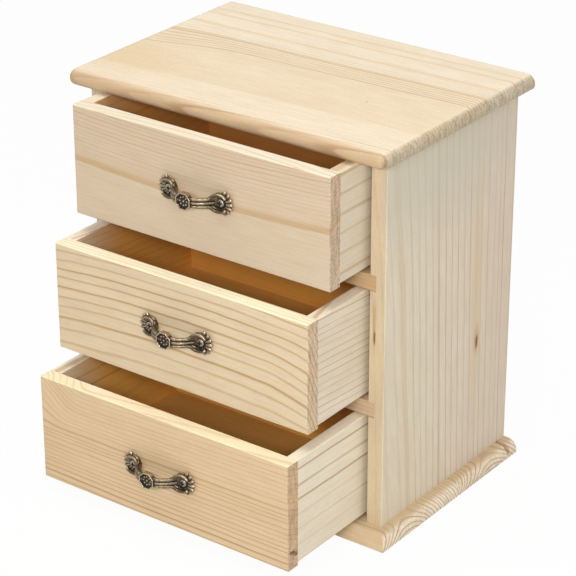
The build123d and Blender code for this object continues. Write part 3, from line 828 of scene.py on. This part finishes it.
# %% Dowels
DOWEL_GRAIN = {
    "top_dowels": "Z", "top_drawer_dowels": "Y", "middle_drawer_dowels": "Y", "bottom_drawer_dowels": "Y"
}
BEECH = dict(trunk=(40, 20, 60), ring=1.2, wander=2.0, early=(0.74, 0.55, 0.37), late=(0.56, 0.38, 0.23))
for dowel_name, dowel_grain in DOWEL_GRAIN.items():
    dress(dowel_name, pine_material("beech_" + dowel_name, dowel_grain, **BEECH))
print("dowels dressed:", len(DOWEL_GRAIN))

# %% [markdown]
# The screws under the base are plated with zinc, a grey metal that dries in small crystals and dulls
# in patches. Cells of a Voronoi pattern stand for the crystals, and noise for the dull patches.

# %% Zinc of the base screws
ZINC_DARK = (0.52, 0.54, 0.56, 1.0)
ZINC_LIGHT = (0.68, 0.70, 0.71, 1.0)
CRYSTAL_SCALE = 900.0
DULL_SCALE = 1500.0
DULL_SPAN, ZINC_ROUGHNESS = (0.3, 0.7), (0.3, 0.5)
ZINC_BUMP = (0.2, 0.1 * MM)

zinc, zinc_tree, zinc_shader = new_material("zinc")
zinc_place = add_node(zinc_tree, "ShaderNodeTexCoord").outputs["Object"]
crystals = add_node(zinc_tree, "ShaderNodeTexVoronoi", {"Vector": zinc_place, "Scale": CRYSTAL_SCALE})
crystal = add_node(zinc_tree, "ShaderNodeSeparateColor", {0: crystals.outputs["Color"]}).outputs[0]
dulled = fine_noise(zinc_tree, zinc_place, DULL_SCALE, detail=3.0)
zinc_colour = blend(zinc_tree, crystal, ZINC_DARK, ZINC_LIGHT)
zinc_rough = ease(zinc_tree, dulled, *DULL_SPAN, *ZINC_ROUGHNESS)
finish_surface(zinc_tree, zinc_shader, zinc_colour, zinc_rough, dulled, *ZINC_BUMP)
zinc_shader.inputs["Metallic"].default_value = 1.0
dress("base_screws", zinc)
print("base screws dressed")

# %% [markdown]
# The pulls are cast in one piece: a bow of three reeds runs from an eight-sided boss to a lobe at
# each end, the outer reeds sweep round the lobe as its rim, and small claws fan out beyond the screw.
# The casting could be carved from one block, but it is easier to lay the reeds, rims and claws down
# as rods and balls in millimetres and to fuse them, as a caster's wax model is built up.

# %% Tools for any piece
STRAIGHT = 0.9  # a face counts as looking along an axis from here on


def take(piece):
    """Select one piece alone and make it the active one."""
    bpy.ops.object.select_all(action="DESELECT")
    piece.select_set(True)
    bpy.context.view_layer.objects.active = piece


def apply_modifier(piece, kind, **settings):
    """Add one modifier to the active piece, set it and apply it."""
    bpy.ops.object.modifier_add(type=kind)
    modifier = piece.modifiers[-1]
    for name, value in settings.items():
        setattr(modifier, name, value)
    bpy.ops.object.modifier_apply(modifier=modifier.name)


def pick_faces(piece, sense):
    """Go into edit mode with only those faces picked that look along Y (1) or against it (-1)."""
    bpy.ops.object.mode_set(mode="EDIT")
    bpy.ops.mesh.select_mode(type="FACE")
    bpy.ops.mesh.select_all(action="DESELECT")
    bpy.ops.object.mode_set(mode="OBJECT")
    for face in piece.data.polygons:
        face.select = face.normal.y * sense > STRAIGHT
    bpy.ops.object.mode_set(mode="EDIT")


def join(pieces, name):
    """Join pieces into the first of them."""
    bpy.ops.object.select_all(action="DESELECT")
    for piece in pieces:
        piece.select_set(True)
    bpy.context.view_layer.objects.active = pieces[0]
    bpy.ops.object.join()
    bpy.context.object.name = name
    return bpy.context.object


def to_metres(piece):
    """Bring a piece that was made in millimetres to the frame's metres."""
    take(piece)
    bpy.ops.transform.resize(value=(MM, MM, MM), center_override=(0, 0, 0))
    bpy.ops.object.transform_apply(location=True, rotation=True, scale=True)


print("tools for pieces ready")

# %% [markdown]
# Three shapes make up the wax: round rods that follow a path, a flat web whose oval section changes
# from station to station, and stretched balls. A rod could also be a bevelled curve, but a skin on
# a row of points takes a radius at every point.

# %% Rods, webs and balls
SKIN_GAIN = 1.09  # a skin of radius 1 comes out a little thinner
ROD_LEVELS = 2
WEB_SIDES = 24
BALL_SEGMENTS, BALL_RINGS = 24, 14


def drawn_rod(path, radii):
    """A round rod along a path: a vertex is extruded from point to point and given a skin."""
    bpy.ops.object.select_all(action="DESELECT")
    bpy.ops.mesh.primitive_plane_add(size=1.0, location=path[0])
    bpy.ops.object.transform_apply(location=True)
    rod = bpy.context.object
    bpy.ops.object.mode_set(mode="EDIT")
    bpy.ops.mesh.select_all(action="SELECT")
    bpy.ops.mesh.merge(type="CENTER")
    for here, there in zip(path, path[1:]):
        step = Vector(there) - Vector(here)
        bpy.ops.mesh.extrude_region_move(TRANSFORM_OT_translate={"value": step})
    bpy.ops.object.mode_set(mode="OBJECT")
    bpy.ops.object.modifier_add(type="SKIN")
    for skin, radius in zip(rod.data.skin_vertices[0].data, radii):
        skin.radius = (radius * SKIN_GAIN, radius * SKIN_GAIN)
    bpy.ops.object.modifier_apply(modifier=rod.modifiers[-1].name)
    apply_modifier(rod, "SUBSURF", levels=ROD_LEVELS, render_levels=ROD_LEVELS)
    return rod


def drawn_web(stations):
    """A flat body along X: an oval is extruded through stations of (x, y, half depth, half height)."""
    bpy.ops.object.select_all(action="DESELECT")
    x, y, depth, height = stations[0]
    bpy.ops.mesh.primitive_circle_add(
        vertices=WEB_SIDES, radius=1.0, fill_type="NGON", location=(x, y, 0), rotation=(0, math.pi / 2, 0)
    )
    web = bpy.context.object
    bpy.ops.object.transform_apply(location=True, rotation=True)
    bpy.ops.object.mode_set(mode="EDIT")
    bpy.ops.mesh.select_all(action="SELECT")
    bpy.ops.transform.resize(value=(1, depth, height), center_override=(x, y, 0))
    for last, following in zip(stations, stations[1:]):
        step = (following[0] - last[0], following[1] - last[1], 0)
        bpy.ops.mesh.extrude_region_move(TRANSFORM_OT_translate={"value": step})
        grow = (1, following[2] / last[2], following[3] / last[3])
        bpy.ops.transform.resize(value=grow, center_override=(following[0], following[1], 0))
    bpy.ops.mesh.select_all(action="SELECT")
    bpy.ops.mesh.normals_make_consistent(inside=False)
    bpy.ops.object.mode_set(mode="OBJECT")
    return web


def ball(place, size, turn=0.0):
    """A ball stretched to half sizes along X, Y and Z and turned about Y."""
    bpy.ops.object.select_all(action="DESELECT")
    bpy.ops.mesh.primitive_uv_sphere_add(
        segments=BALL_SEGMENTS, ring_count=BALL_RINGS, radius=1.0,
        location=place, rotation=(0, turn, 0), scale=size,
    )
    bpy.ops.object.transform_apply(location=True, rotation=True, scale=True)
    return bpy.context.object


print("wax tools ready")

# %% [markdown]
# One half of the bow is laid down first: the web behind the reeds, the three reeds, a wall that
# carries the rim down to the drawer, the lobe's plate and the claws. The other half could be laid
# down as well, but a mirror keeps both alike. Y runs into the drawer, and 0 is the drawer's face.

# %% Half of the bow
SCREW_X = 17.4
WEB = [(0, -10.4, 1.3, 2.2), (4, -10.0, 1.4, 2.2), (7, -8.8, 1.5, 2.1), (9.5, -6.8, 1.8, 2.1),
       (11.5, -4.6, 2.2, 2.2), (12.9, -3.5, 1.7, 2.4), (14.0, -2.1, 1.3, 3.7), (15.4, -1.2, 1.2, 4.6),
       (17.4, -1.0, 1.0, 4.9)]
OUTER_REED = [(3.0, -11.4, 2.0), (6.0, -10.9, 2.0), (8.5, -9.6, 2.0), (10.5, -7.9, 2.0), (12.2, -6.2, 2.1),
              (13.1, -5.2, 2.9), (13.9, -4.6, 3.9), (15.2, -4.1, 4.6), (17.2, -3.8, 4.85), (19.2, -3.6, 4.6),
              (20.8, -3.5, 3.8), (21.5, -3.4, 2.7)]
OUTER_RADII = [1.0, 1.0, 0.95, 0.95, 0.95, 1.0, 1.0, 1.0, 1.0, 1.0, 0.95, 0.8]
RIM_WALL = [(13.9, -2.8, 3.9), (15.2, -2.2, 4.6), (17.2, -1.8, 4.85), (19.2, -1.8, 4.6), (20.8, -1.8, 3.8),
            (21.5, -1.8, 2.7)]
RIM_WALL_RADII = [1.1] * len(RIM_WALL)
MIDDLE_REED = [(3.0, -11.7, 0), (6.0, -11.2, 0), (8.5, -10.0, 0), (10.4, -8.5, 0), (11.8, -7.0, 0),
               (13.2, -5.2, 0), (14.4, -3.6, 0)]
MIDDLE_RADII = [0.95, 0.95, 0.9, 0.85, 0.85, 0.8, 0.6]
PLATE_SIDES = 48
PLATE_RADIUS = 5.0
PLATE_THICKNESS = 2.0
PLATE_NARROWING = 0.84
CLAW_ANGLES = (0, 23, 46, 69, -23, -46, -69)
CLAW_REACH = 5.2
CLAW_Y = -1.7
CLAW_SIZE = (2.5, 1.1, 1.2)

half = [drawn_web(WEB), drawn_rod(MIDDLE_REED, MIDDLE_RADII)]
for path, radii in ((OUTER_REED, OUTER_RADII), (RIM_WALL, RIM_WALL_RADII)):
    half.append(drawn_rod(path, radii))
    half.append(drawn_rod([(x, y, -z) for x, y, z in path], radii))
bpy.ops.object.select_all(action="DESELECT")
bpy.ops.mesh.primitive_cylinder_add(
    vertices=PLATE_SIDES, radius=PLATE_RADIUS, depth=PLATE_THICKNESS,
    location=(SCREW_X, -PLATE_THICKNESS / 2, 0), rotation=(math.pi / 2, 0, 0), scale=(PLATE_NARROWING, 1, 1),
)
bpy.ops.object.transform_apply(location=True, rotation=True, scale=True)
half.append(bpy.context.object)
for angle in CLAW_ANGLES:
    out = math.radians(angle)
    claw_place = (SCREW_X + CLAW_REACH * math.cos(out), CLAW_Y, CLAW_REACH * math.sin(out))
    half.append(ball(claw_place, CLAW_SIZE, -out))
bow = join(half, "bow")
apply_modifier(bow, "MIRROR", use_axis=(True, False, False), use_mirror_merge=False)
print("bow vertices:", len(bow.data.vertices))

# %% [markdown]
# The boss is an eight-sided button. Its face is inset and pushed in, which leaves a raised rim round
# a field with a ring of small beads and one larger bead in the middle. Beads could be a bump in the
# metal, but modelled ones also show against the light.

# %% Boss
BOSS_SIDES = 8
BOSS_RADIUS = 5.2
BOSS_FRONT = -13.0
BOSS_THICKNESS = 3.2
BOSS_RIM = 0.7
FIELD_DEPTH = 1.0
BEADS = 8
BEAD_RING = 2.4
BEAD_SIZE = (0.5, 0.45, 0.5)
MIDDLE_BEAD_SIZE = (0.62, 0.5, 0.62)

bpy.ops.object.select_all(action="DESELECT")
bpy.ops.mesh.primitive_cylinder_add(
    vertices=BOSS_SIDES, radius=BOSS_RADIUS, depth=BOSS_THICKNESS,
    location=(0, BOSS_FRONT + BOSS_THICKNESS / 2, 0), rotation=(math.pi / 2, math.pi / BOSS_SIDES, 0),
)
boss = bpy.context.object
bpy.ops.object.transform_apply(location=True, rotation=True)
pick_faces(boss, -1)
bpy.ops.mesh.inset(thickness=BOSS_RIM, depth=0)
bpy.ops.mesh.extrude_region_move(TRANSFORM_OT_translate={"value": (0, FIELD_DEPTH, 0)})
bpy.ops.object.mode_set(mode="OBJECT")
field = BOSS_FRONT + FIELD_DEPTH
beads = [ball((0, field, 0), MIDDLE_BEAD_SIZE)]
for count in range(BEADS):
    around = 2 * math.pi * count / BEADS
    beads.append(ball((BEAD_RING * math.cos(around), field, BEAD_RING * math.sin(around)), BEAD_SIZE))
print("boss with beads:", len(beads))

# %% [markdown]
# Now the wax is fused. Booleans could do it, but they often fail where many round bodies meet. A fine
# remesh joins everything into one skin, smoothing takes off the stair steps, and a decimation keeps
# only the faces that the shape needs. Tiny bubbles that the remesh closes off inside are loose skins
# of their own, so the largest skin is kept and the others are dropped.

# %% Fuse the casting
VOXEL = 0.15
SMOOTHING = 0.5
SMOOTHING_PASSES = 4
KEPT_FACES = 0.45

casting = join([bow, boss] + beads, "pull_casting")
apply_modifier(casting, "REMESH", mode="VOXEL", voxel_size=VOXEL)
apply_modifier(casting, "SMOOTH", factor=SMOOTHING, iterations=SMOOTHING_PASSES)
apply_modifier(casting, "DECIMATE", ratio=KEPT_FACES)
bpy.ops.object.mode_set(mode="EDIT")
bpy.ops.mesh.select_all(action="SELECT")
bpy.ops.mesh.separate(type="LOOSE")
bpy.ops.object.mode_set(mode="OBJECT")
skins = sorted(bpy.context.selected_objects, key=lambda skin: len(skin.data.vertices))
casting = skins.pop()
for bubble in skins:
    bpy.data.objects.remove(bubble)
casting.name = "pull_casting"
print("casting faces:", len(casting.data.polygons))

# %% [markdown]
# Hands rub the ridges of a pull and leave the hollows. A shader can guess at both, but a wear
# attribute stays with the mesh wherever it goes. It compares the casting with a twin that is
# smoothed much more: ridges stand above the twin and hollows lie below it.

# %% Wear of the casting
TWIN_PASSES = 40
WEAR_SPAN = 0.4  # lift in mm from the darkest hollow to the brightest ridge
EVEN_WEAR = 0.5  # where the surface is flat


def wear_attribute(piece, levels):
    """Keep one level of wear for each vertex, 0 in a hollow and 1 on a ridge."""
    wear = piece.data.color_attributes.new("wear", "FLOAT_COLOR", "POINT")
    for spot, level in zip(wear.data, levels):
        spot.color = (level, level, level, 1.0)


take(casting)
bpy.ops.object.duplicate(linked=False)
twin = bpy.context.object
apply_modifier(twin, "SMOOTH", factor=SMOOTHING, iterations=TWIN_PASSES)
wear_levels = []
for vertex, smoothed in zip(casting.data.vertices, twin.data.vertices):
    lift = (vertex.co - smoothed.co).dot(vertex.normal)
    wear_levels.append(min(max(EVEN_WEAR + lift / WEAR_SPAN, 0.0), 1.0))
wear_attribute(casting, wear_levels)
bpy.data.objects.remove(twin)
to_metres(casting)
bpy.ops.object.shade_smooth()
print("mean wear:", round(sum(wear_levels) / len(wear_levels), 3))

# %% [markdown]
# Each pull is held by two screws with a pan head and a cross slot. The head is the cap of a flattened
# ball, drawn down to its seat as a short wall. The slot could be a dark cross in the metal, but a cut
# one catches the light, so two crossed bars cut it. The shank is fused on, so that a screw is one
# closed skin.

# %% Screws of the pull
SCREW_HEAD_RADIUS = 2.35
SCREW_SEAT = -2.0
SCREW_CROWN = -2.7
CROWN_HEIGHT = 0.65
SHANK_SIDES = 24
SHANK_RADIUS = 1.1
SHANK_START = -2.2  # inside the head
SHANK_END = 6.4
SLOT_WIDTH = 1.0
SLOT_LENGTH = 2.8
SLOT_DEPTH = 0.9


def cut_or_fuse(piece, other, operation):
    """Cut another piece out of a piece or fuse it on, and use it up."""
    take(piece)
    apply_modifier(piece, "BOOLEAN", operation=operation, object=other, solver="EXACT")
    bpy.data.objects.remove(other)


screw_pair = ball((SCREW_X, SCREW_CROWN, 0), (SCREW_HEAD_RADIUS, CROWN_HEIGHT, SCREW_HEAD_RADIUS))
screw_pair.name = "pull_screws"
bpy.ops.object.mode_set(mode="EDIT")
bpy.ops.mesh.select_all(action="SELECT")
bpy.ops.mesh.bisect(
    plane_co=(SCREW_X, SCREW_CROWN, 0), plane_no=(0, 1, 0), use_fill=True, clear_inner=False, clear_outer=True
)
pick_faces(screw_pair, 1)
bpy.ops.mesh.extrude_region_move(TRANSFORM_OT_translate={"value": (0, SCREW_SEAT - SCREW_CROWN, 0)})
bpy.ops.object.mode_set(mode="OBJECT")
for long_x, long_z in ((SLOT_LENGTH, SLOT_WIDTH), (SLOT_WIDTH, SLOT_LENGTH)):
    bpy.ops.object.select_all(action="DESELECT")
    bpy.ops.mesh.primitive_cube_add(
        size=1.0, location=(SCREW_X, SCREW_CROWN - CROWN_HEIGHT, 0), scale=(long_x, 2 * SLOT_DEPTH, long_z)
    )
    bpy.ops.object.transform_apply(location=True, scale=True)
    cut_or_fuse(screw_pair, bpy.context.object, "DIFFERENCE")
bpy.ops.object.select_all(action="DESELECT")
bpy.ops.mesh.primitive_cylinder_add(
    vertices=SHANK_SIDES, radius=SHANK_RADIUS, depth=SHANK_END - SHANK_START,
    location=(SCREW_X, (SHANK_END + SHANK_START) / 2, 0), rotation=(math.pi / 2, 0, 0),
)
bpy.ops.object.transform_apply(location=True, rotation=True)
cut_or_fuse(screw_pair, bpy.context.object, "UNION")
print("one screw's faces:", len(screw_pair.data.polygons))

# %% [markdown]
# The screws carry the wear attribute too: the head is rubbed all over, and the slot keeps the dark of
# the bath. A point lies in the slot where it is near the axis and below the head's crown. A mirror
# then makes the second screw.

# %% Wear of the screws
SLOT_REACH = 0.7  # share of the head's radius
SLOT_MARGIN = 0.1
HEAD_WEAR = 0.62
SHARP_ANGLE = math.radians(35)


def screw_wear(point):
    """No wear in the slot, and the head's wear elsewhere."""
    from_axis = math.hypot(point.x - SCREW_X, point.z) / SCREW_HEAD_RADIUS
    crown = SCREW_CROWN - CROWN_HEIGHT * math.sqrt(max(1.0 - from_axis ** 2, 0.0))
    in_slot = crown + SLOT_MARGIN < point.y < SCREW_SEAT and from_axis < SLOT_REACH
    return 0.0 if in_slot else HEAD_WEAR


wear_attribute(screw_pair, [screw_wear(vertex.co) for vertex in screw_pair.data.vertices])
apply_modifier(screw_pair, "MIRROR", use_axis=(True, False, False), use_mirror_merge=False)
to_metres(screw_pair)
bpy.ops.object.shade_smooth_by_angle(angle=SHARP_ANGLE)
print("screw pair faces:", len(screw_pair.data.polygons))

# %% [markdown]
# Old bronze is brown-black in its hollows, where the patina was left, and bright on the ridges, where
# it was rubbed off. The wear attribute gives the place of both, and a fine noise breaks its edge.
# The screws are steel with the same brown bath.

# %% Bronze and browned steel
SPECKLE_SCALE = 1400.0
METAL_CLOUD_SCALE = 260.0
SPECKLE_BREAK = 0.16
CLEANED_SPAN, RUBBED_SPAN = (0.30, 0.56), (0.58, 0.78)
METAL_CLOUD_SPAN, METAL_CLOUD_LIGHT = (0.3, 0.7), (0.85, 1.08)
PATINA_METALLIC = 0.35
PATINA_ROUGHNESS, METAL_ROUGHNESS, RUBBED_GAIN = 0.62, 0.42, 0.12
METAL_BUMP = (0.3, 0.08 * MM)


def patina_material(name, hollow, body, ridge):
    """A dark metal rubbed bright on its ridges."""
    material, tree, shader = new_material(name)
    where = add_node(tree, "ShaderNodeTexCoord").outputs["Object"]
    speckle = fine_noise(tree, where, SPECKLE_SCALE, detail=3.0)
    cloud = fine_noise(tree, where, METAL_CLOUD_SCALE)
    wear = add_node(tree, "ShaderNodeVertexColor", layer_name="wear").outputs[0]
    wear = add_node(tree, "ShaderNodeSeparateColor", {0: wear}).outputs[0]
    broken = work_out(tree, "SUBTRACT", speckle, NOISE_MIDDLE)
    wear = work_out(tree, "ADD", wear, work_out(tree, "MULTIPLY", broken, SPECKLE_BREAK))
    cleaned = ease(tree, wear, *CLEANED_SPAN)
    rubbed = ease(tree, wear, *RUBBED_SPAN)
    colour = blend(tree, cleaned, (*hollow, 1.0), (*body, 1.0))
    colour = blend(tree, rubbed, colour, (*ridge, 1.0))
    shade = ease(tree, cloud, *METAL_CLOUD_SPAN, *METAL_CLOUD_LIGHT)
    colour = blend(tree, 1.0, colour, shade, "MULTIPLY")
    metallic = ease(tree, cleaned, 0.0, 1.0, PATINA_METALLIC, 1.0)
    tree.links.new(metallic, shader.inputs["Metallic"])
    roughness = ease(tree, cleaned, 0.0, 1.0, PATINA_ROUGHNESS, METAL_ROUGHNESS)
    roughness = work_out(tree, "SUBTRACT", roughness, work_out(tree, "MULTIPLY", rubbed, RUBBED_GAIN))
    finish_surface(tree, shader, colour, roughness, speckle, *METAL_BUMP)
    return material


BRONZE = dict(hollow=(0.014, 0.010, 0.008), body=(0.13, 0.096, 0.056), ridge=(0.47, 0.38, 0.26))
BROWN_STEEL = dict(hollow=(0.03, 0.026, 0.022), body=(0.36, 0.31, 0.245), ridge=(0.56, 0.50, 0.41))
casting.data.materials.append(patina_material("antique_bronze", **BRONZE))
screw_pair.data.materials.append(patina_material("browned_steel", **BROWN_STEEL))
print("metals ready")

# %% [markdown]
# One pull and one pair of screws are now copied to each drawer. They could be linked copies, but each
# has its own mesh, so that its place lies in the mesh, and it rides on its drawer.

# %% Pulls on the drawers
for drawer_name in ("top", "middle", "bottom"):
    front_low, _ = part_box(drawer_name + "_drawer_front")
    low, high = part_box(drawer_name + "_drawer_pull")
    spot = ((low[0] + high[0]) / 2, front_low[1], (low[2] + high[2]) / 2)
    for pattern, node_ending, slot_name in (
        (casting, "_drawer_pull", "antique_bronze"), (screw_pair, "_drawer_pull_screws", "bronzed_steel")
    ):
        take(pattern)
        bpy.ops.object.duplicate(linked=False)
        copy = bpy.context.object
        copy.name = drawer_name + node_ending.replace("_drawer", "") + "_casting"
        bpy.ops.transform.translate(value=spot)
        bpy.ops.object.transform_apply(location=True)
        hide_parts(drawer_name + node_ending)
        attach(copy, drawer_name + "_drawer")
for pattern in (casting, screw_pair):
    bpy.data.objects.remove(pattern)
print("pulls fitted")
